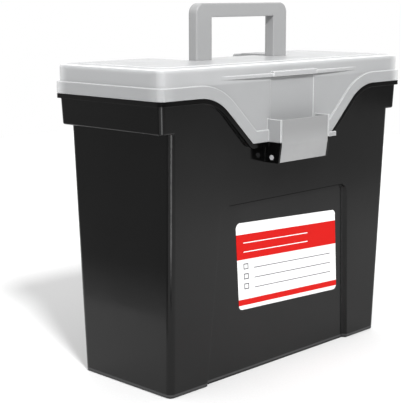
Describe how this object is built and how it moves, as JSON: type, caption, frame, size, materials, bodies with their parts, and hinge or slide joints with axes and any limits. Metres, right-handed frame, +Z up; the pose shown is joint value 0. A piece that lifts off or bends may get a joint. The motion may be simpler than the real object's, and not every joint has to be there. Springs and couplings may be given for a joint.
{
  "type": "portable file box",
  "caption": "Tall narrow file box with a tapered tub for hanging folders, a hinged lid with a curved apron, a square fold-down carry handle and a swing latch on the front.",
  "frame": {"origin": "middle of the underside, on the pad the box stands on", "axes": "+X to the right seen from the latch side, +Y from the latch side to the hinge side, +Z up"},
  "size_m": [0.3498, 0.1679, 0.3527],
  "materials": {
    "tub_black": "satin moulded polypropylene",
    "lid_frosted": "frosted, faintly see-through polypropylene",
    "handle_grey": "satin moulded",
    "latch_grey": "satin moulded",
    "latch_pin_grey": "satin moulded",
    "pin_steel": "plain bright wire",
    "label_paper": "smooth printed paper, white with a red band"
  },
  "bodies": {
    "tub": {"tub": "tub_black", "latch_pin": "latch_pin_grey", "hinge_pins": "pin_steel", "label": "label_paper"},
    "lid": {"lid": "lid_frosted", "handle_pins": "pin_steel"},
    "handle": {"handle": "handle_grey"},
    "latch": {"latch": "latch_grey"}
  },
  "joints": [
    {"name": "lid_hinge", "type": "hinge", "parent": "tub", "child": "lid", "pos_m": [0, 0.0772, 0.27115], "axis": [-1, 0, 0], "range_deg": [0, 110]},
    {"name": "handle_fold", "type": "hinge", "parent": "lid", "child": "handle", "pos_m": [0, -0.0006, 0.2931], "axis": [-1, 0, 0], "range_deg": [0, 90]},
    {"name": "latch_swing", "type": "hinge", "parent": "tub", "child": "latch", "pos_m": [0, -0.07535, 0.2105], "axis": [1, 0, 0], "range_deg": [0, 85]}
  ]
}
